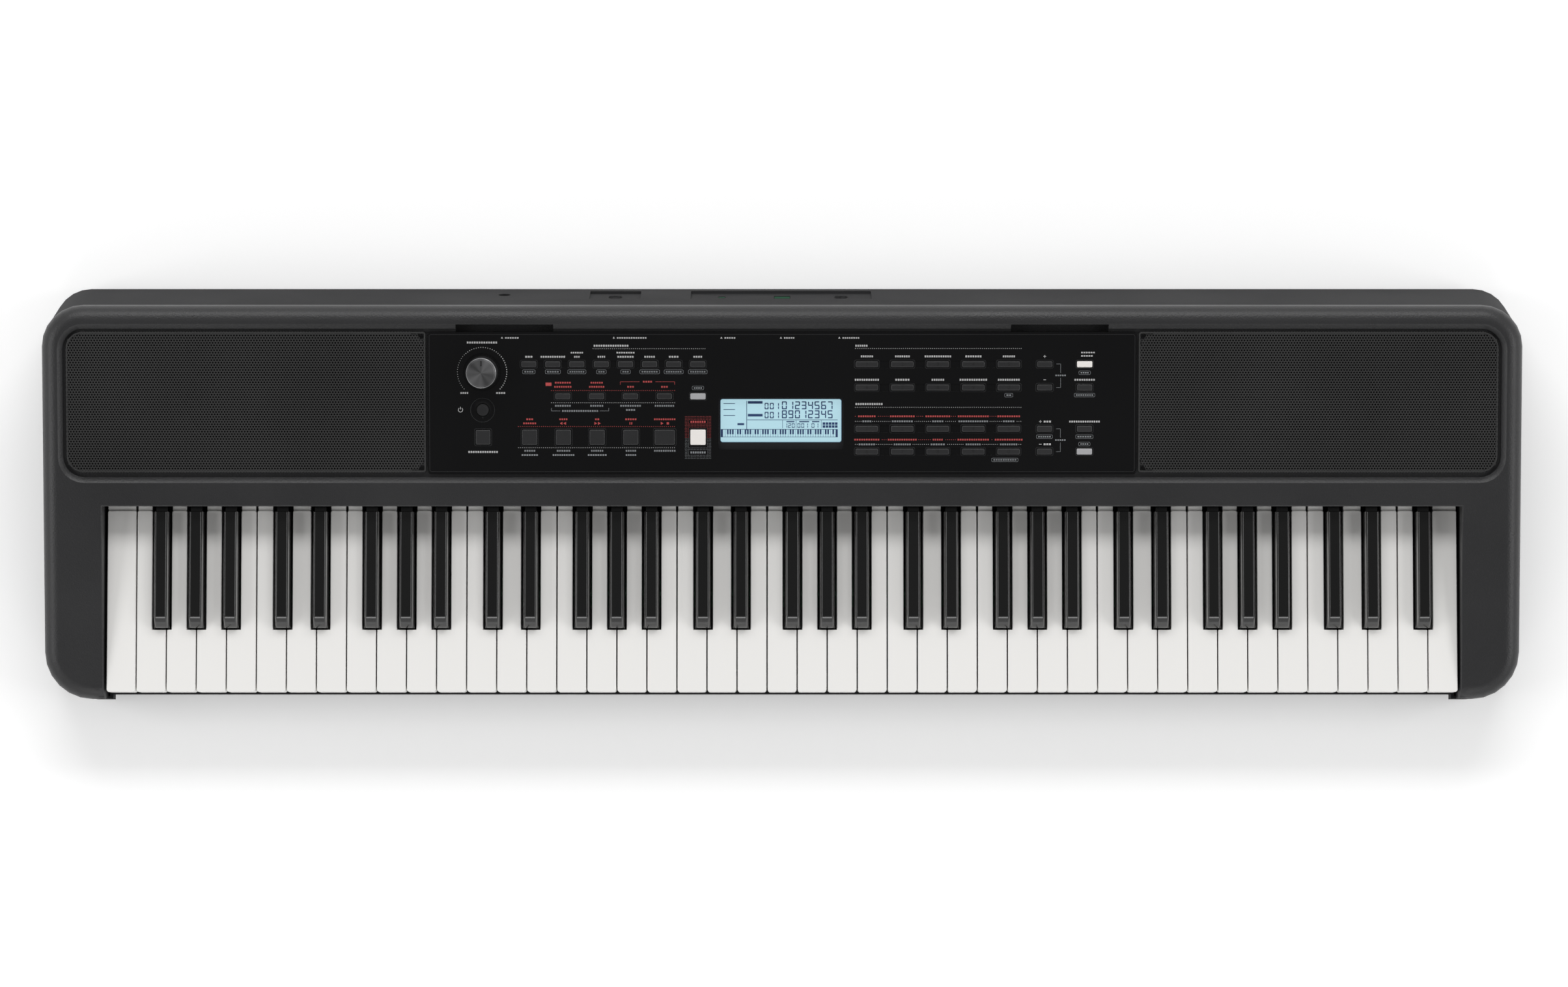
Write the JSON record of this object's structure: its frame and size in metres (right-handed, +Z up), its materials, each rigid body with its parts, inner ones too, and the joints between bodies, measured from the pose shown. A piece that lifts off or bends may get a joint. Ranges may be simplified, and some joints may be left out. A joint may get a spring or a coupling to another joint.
{
  "type": "portable keyboard",
  "caption": "Portable electronic keyboard with full-size keys, a sloping control panel with a display, buttons and a volume knob, and a speaker behind a grille on each side.",
  "frame": {"origin": "on the table under the middle of the instrument", "axes": "+X along the keys towards the treble end, +Y towards the rear, +Z up"},
  "size_m": [1.1544, 0.326, 0.1138],
  "materials": {
    "case_black": "moulded with a fine grain",
    "panel_gloss": "polished black",
    "grille_metal": "black painted perforated sheet",
    "speaker_cone": "matt black",
    "module_black": "matt black",
    "window_clear": "clear and polished",
    "control_metal": "plain metal",
    "board_green": "green board",
    "socket_black": "moulded black",
    "frame_plastic": "moulded dark grey",
    "knob_metal": "spun top",
    "cap_dark": "satin dark grey",
    "cap_white": "satin white",
    "cap_light": "satin light grey",
    "foot_rubber": "matt rubber",
    "key_white": "polished ivory white",
    "key_black": "polished black"
  },
  "bodies": {
    "case": {"upper_case": "case_black", "lower_case": "case_black", "control_panel": "panel_gloss", "grille_left": "grille_metal", "grille_right": "grille_metal", "speaker_left": "speaker_cone", "speaker_right": "speaker_cone", "lcd_module": "module_black", "lcd_window": "window_clear", "volume_control": "control_metal", "panel_board": "board_green", "jack_board": "board_green", "phones_jack": "socket_black", "sustain_jack": "socket_black", "main_board": "board_green", "key_frame": "frame_plastic", "contact_board": "board_green", "foot_front_left": "foot_rubber", "foot_front_right": "foot_rubber", "foot_rear_right": "foot_rubber", "foot_rear_left": "foot_rubber"},
    "white_keys_low_a": {"white_keys_low_a": "key_white"},
    "white_keys_low_b": {"white_keys_low_b": "key_white"},
    "black_keys_low": {"black_keys_low": "key_black"},
    "white_keys_octave_1_a": {"white_keys_octave_1_a": "key_white"},
    "white_keys_octave_1_b": {"white_keys_octave_1_b": "key_white"},
    "black_keys_octave_1": {"black_keys_octave_1": "key_black"},
    "white_keys_octave_2_a": {"white_keys_octave_2_a": "key_white"},
    "white_keys_octave_2_b": {"white_keys_octave_2_b": "key_white"},
    "black_keys_octave_2": {"black_keys_octave_2": "key_black"},
    "white_keys_octave_3_a": {"white_keys_octave_3_a": "key_white"},
    "white_keys_octave_3_b": {"white_keys_octave_3_b": "key_white"},
    "black_keys_octave_3": {"black_keys_octave_3": "key_black"},
    "white_keys_octave_4_a": {"white_keys_octave_4_a": "key_white"},
    "white_keys_octave_4_b": {"white_keys_octave_4_b": "key_white"},
    "black_keys_octave_4": {"black_keys_octave_4": "key_black"},
    "white_keys_octave_5_a": {"white_keys_octave_5_a": "key_white"},
    "white_keys_octave_5_b": {"white_keys_octave_5_b": "key_white"},
    "black_keys_octave_5": {"black_keys_octave_5": "key_black"},
    "white_keys_high_a": {"white_keys_high_a": "key_white"},
    "white_keys_high_b": {"white_keys_high_b": "key_white"},
    "black_keys_high": {"black_keys_high": "key_black"},
    "record_buttons": {"record_buttons": "cap_dark"},
    "sound_buttons": {"sound_buttons": "cap_dark"},
    "lesson_buttons": {"lesson_buttons": "cap_dark"},
    "transport_buttons": {"transport_buttons": "cap_dark"},
    "number_buttons_1": {"number_buttons_1": "cap_dark"},
    "number_buttons_2": {"number_buttons_2": "cap_dark"},
    "number_buttons_3": {"number_buttons_3": "cap_dark"},
    "number_buttons_4": {"number_buttons_4": "cap_dark"},
    "articulation_button": {"articulation_button": "cap_dark"},
    "mode_button": {"mode_button": "cap_white"},
    "left_shift_button": {"left_shift_button": "cap_light"},
    "upper_step_buttons": {"upper_step_buttons": "cap_dark"},
    "lower_step_buttons": {"lower_step_buttons": "cap_dark"},
    "upper_column_buttons": {"upper_column_buttons": "cap_white"},
    "lower_column_buttons": {"lower_column_buttons": "cap_light"},
    "power_button": {"power_button": "cap_dark"},
    "volume_knob": {"volume_knob": "knob_metal"},
    "battery_cover": {"battery_cover": "case_black"}
  },
  "joints": [
    {"name": "white_keys_low_a_hinge", "type": "hinge", "parent": "case", "child": "white_keys_low_a", "pos_m": [0, 0.03626, 0.046], "axis": [1, 0, 0], "range_deg": [0, 3], "stiffness_Nm_per_rad": 1.6, "springref_deg": -14.32},
    {"name": "white_keys_low_b_hinge", "type": "hinge", "parent": "case", "child": "white_keys_low_b", "pos_m": [0, 0.03626, 0.0488], "axis": [1, 0, 0], "range_deg": [0, 3], "stiffness_Nm_per_rad": 1.6, "springref_deg": -14.32},
    {"name": "black_keys_low_hinge", "type": "hinge", "parent": "case", "child": "black_keys_low", "pos_m": [0, 0.03626, 0.0516], "axis": [1, 0, 0], "range_deg": [0, 3], "stiffness_Nm_per_rad": 1.6, "springref_deg": -14.32},
    {"name": "white_keys_octave_1_a_hinge", "type": "hinge", "parent": "case", "child": "white_keys_octave_1_a", "pos_m": [0, 0.03626, 0.046], "axis": [1, 0, 0], "range_deg": [0, 3], "stiffness_Nm_per_rad": 1.6, "springref_deg": -14.32},
    {"name": "white_keys_octave_1_b_hinge", "type": "hinge", "parent": "case", "child": "white_keys_octave_1_b", "pos_m": [0, 0.03626, 0.0488], "axis": [1, 0, 0], "range_deg": [0, 3], "stiffness_Nm_per_rad": 1.6, "springref_deg": -14.32},
    {"name": "black_keys_octave_1_hinge", "type": "hinge", "parent": "case", "child": "black_keys_octave_1", "pos_m": [0, 0.03626, 0.0516], "axis": [1, 0, 0], "range_deg": [0, 3], "stiffness_Nm_per_rad": 1.6, "springref_deg": -14.32},
    {"name": "white_keys_octave_2_a_hinge", "type": "hinge", "parent": "case", "child": "white_keys_octave_2_a", "pos_m": [0, 0.03626, 0.046], "axis": [1, 0, 0], "range_deg": [0, 3], "stiffness_Nm_per_rad": 1.6, "springref_deg": -14.32},
    {"name": "white_keys_octave_2_b_hinge", "type": "hinge", "parent": "case", "child": "white_keys_octave_2_b", "pos_m": [0, 0.03626, 0.0488], "axis": [1, 0, 0], "range_deg": [0, 3], "stiffness_Nm_per_rad": 1.6, "springref_deg": -14.32},
    {"name": "black_keys_octave_2_hinge", "type": "hinge", "parent": "case", "child": "black_keys_octave_2", "pos_m": [0, 0.03626, 0.0516], "axis": [1, 0, 0], "range_deg": [0, 3], "stiffness_Nm_per_rad": 1.6, "springref_deg": -14.32},
    {"name": "white_keys_octave_3_a_hinge", "type": "hinge", "parent": "case", "child": "white_keys_octave_3_a", "pos_m": [0, 0.03626, 0.046], "axis": [1, 0, 0], "range_deg": [0, 3], "stiffness_Nm_per_rad": 1.6, "springref_deg": -14.32},
    {"name": "white_keys_octave_3_b_hinge", "type": "hinge", "parent": "case", "child": "white_keys_octave_3_b", "pos_m": [0, 0.03626, 0.0488], "axis": [1, 0, 0], "range_deg": [0, 3], "stiffness_Nm_per_rad": 1.6, "springref_deg": -14.32},
    {"name": "black_keys_octave_3_hinge", "type": "hinge", "parent": "case", "child": "black_keys_octave_3", "pos_m": [0, 0.03626, 0.0516], "axis": [1, 0, 0], "range_deg": [0, 3], "stiffness_Nm_per_rad": 1.6, "springref_deg": -14.32},
    {"name": "white_keys_octave_4_a_hinge", "type": "hinge", "parent": "case", "child": "white_keys_octave_4_a", "pos_m": [0, 0.03626, 0.046], "axis": [1, 0, 0], "range_deg": [0, 3], "stiffness_Nm_per_rad": 1.6, "springref_deg": -14.32},
    {"name": "white_keys_octave_4_b_hinge", "type": "hinge", "parent": "case", "child": "white_keys_octave_4_b", "pos_m": [0, 0.03626, 0.0488], "axis": [1, 0, 0], "range_deg": [0, 3], "stiffness_Nm_per_rad": 1.6, "springref_deg": -14.32},
    {"name": "black_keys_octave_4_hinge", "type": "hinge", "parent": "case", "child": "black_keys_octave_4", "pos_m": [0, 0.03626, 0.0516], "axis": [1, 0, 0], "range_deg": [0, 3], "stiffness_Nm_per_rad": 1.6, "springref_deg": -14.32},
    {"name": "white_keys_octave_5_a_hinge", "type": "hinge", "parent": "case", "child": "white_keys_octave_5_a", "pos_m": [0, 0.03626, 0.046], "axis": [1, 0, 0], "range_deg": [0, 3], "stiffness_Nm_per_rad": 1.6, "springref_deg": -14.32},
    {"name": "white_keys_octave_5_b_hinge", "type": "hinge", "parent": "case", "child": "white_keys_octave_5_b", "pos_m": [0, 0.03626, 0.0488], "axis": [1, 0, 0], "range_deg": [0, 3], "stiffness_Nm_per_rad": 1.6, "springref_deg": -14.32},
    {"name": "black_keys_octave_5_hinge", "type": "hinge", "parent": "case", "child": "black_keys_octave_5", "pos_m": [0, 0.03626, 0.0516], "axis": [1, 0, 0], "range_deg": [0, 3], "stiffness_Nm_per_rad": 1.6, "springref_deg": -14.32},
    {"name": "white_keys_high_a_hinge", "type": "hinge", "parent": "case", "child": "white_keys_high_a", "pos_m": [0, 0.03626, 0.046], "axis": [1, 0, 0], "range_deg": [0, 3], "stiffness_Nm_per_rad": 1.6, "springref_deg": -14.32},
    {"name": "white_keys_high_b_hinge", "type": "hinge", "parent": "case", "child": "white_keys_high_b", "pos_m": [0, 0.03626, 0.0488], "axis": [1, 0, 0], "range_deg": [0, 3], "stiffness_Nm_per_rad": 1.6, "springref_deg": -14.32},
    {"name": "black_keys_high_hinge", "type": "hinge", "parent": "case", "child": "black_keys_high", "pos_m": [0, 0.03626, 0.0516], "axis": [1, 0, 0], "range_deg": [0, 3], "stiffness_Nm_per_rad": 1.6, "springref_deg": -14.32},
    {"name": "record_buttons_press", "type": "slide", "parent": "case", "child": "record_buttons", "axis": [0, 0.1426, -0.9898], "range_m": [0, 0.0012], "stiffness_N_per_m": 500, "springref_m": -0.001},
    {"name": "sound_buttons_press", "type": "slide", "parent": "case", "child": "sound_buttons", "axis": [0, 0.1426, -0.9898], "range_m": [0, 0.0012], "stiffness_N_per_m": 500, "springref_m": -0.001},
    {"name": "lesson_buttons_press", "type": "slide", "parent": "case", "child": "lesson_buttons", "axis": [0, 0.1426, -0.9898], "range_m": [0, 0.0012], "stiffness_N_per_m": 500, "springref_m": -0.001},
    {"name": "transport_buttons_press", "type": "slide", "parent": "case", "child": "transport_buttons", "axis": [0, 0.1426, -0.9898], "range_m": [0, 0.0012], "stiffness_N_per_m": 500, "springref_m": -0.001},
    {"name": "number_buttons_1_press", "type": "slide", "parent": "case", "child": "number_buttons_1", "axis": [0, 0.1426, -0.9898], "range_m": [0, 0.0012], "stiffness_N_per_m": 500, "springref_m": -0.001},
    {"name": "number_buttons_2_press", "type": "slide", "parent": "case", "child": "number_buttons_2", "axis": [0, 0.1426, -0.9898], "range_m": [0, 0.0012], "stiffness_N_per_m": 500, "springref_m": -0.001},
    {"name": "number_buttons_3_press", "type": "slide", "parent": "case", "child": "number_buttons_3", "axis": [0, 0.1426, -0.9898], "range_m": [0, 0.0012], "stiffness_N_per_m": 500, "springref_m": -0.001},
    {"name": "number_buttons_4_press", "type": "slide", "parent": "case", "child": "number_buttons_4", "axis": [0, 0.1426, -0.9898], "range_m": [0, 0.0012], "stiffness_N_per_m": 500, "springref_m": -0.001},
    {"name": "articulation_button_press", "type": "slide", "parent": "case", "child": "articulation_button", "axis": [0, 0.1426, -0.9898], "range_m": [0, 0.0012], "stiffness_N_per_m": 500, "springref_m": -0.001},
    {"name": "mode_button_press", "type": "slide", "parent": "case", "child": "mode_button", "axis": [0, 0.1426, -0.9898], "range_m": [0, 0.0012], "stiffness_N_per_m": 500, "springref_m": -0.001},
    {"name": "left_shift_button_press", "type": "slide", "parent": "case", "child": "left_shift_button", "axis": [0, 0.1426, -0.9898], "range_m": [0, 0.0012], "stiffness_N_per_m": 500, "springref_m": -0.001},
    {"name": "upper_step_buttons_press", "type": "slide", "parent": "case", "child": "upper_step_buttons", "axis": [0, 0.1426, -0.9898], "range_m": [0, 0.0012], "stiffness_N_per_m": 500, "springref_m": -0.001},
    {"name": "lower_step_buttons_press", "type": "slide", "parent": "case", "child": "lower_step_buttons", "axis": [0, 0.1426, -0.9898], "range_m": [0, 0.0012], "stiffness_N_per_m": 500, "springref_m": -0.001},
    {"name": "upper_column_buttons_press", "type": "slide", "parent": "case", "child": "upper_column_buttons", "axis": [0, 0.1426, -0.9898], "range_m": [0, 0.0012], "stiffness_N_per_m": 500, "springref_m": -0.001},
    {"name": "lower_column_buttons_press", "type": "slide", "parent": "case", "child": "lower_column_buttons", "axis": [0, 0.1426, -0.9898], "range_m": [0, 0.0012], "stiffness_N_per_m": 500, "springref_m": -0.001},
    {"name": "power_button_press", "type": "slide", "parent": "case", "child": "power_button", "axis": [0, 0.1426, -0.9898], "range_m": [0, 0.0012], "stiffness_N_per_m": 300, "springref_m": -0.001},
    {"name": "volume_turn", "type": "hinge", "parent": "case", "child": "volume_knob", "pos_m": [-0.2335, 0.09005, 0.09696], "axis": [0, -0.1426, 0.9898], "range_deg": [-135, 135]},
    {"name": "battery_cover_lift", "type": "slide", "parent": "case", "child": "battery_cover", "axis": [0, 0, -1], "range_m": [0, 0.03]}
  ]
}
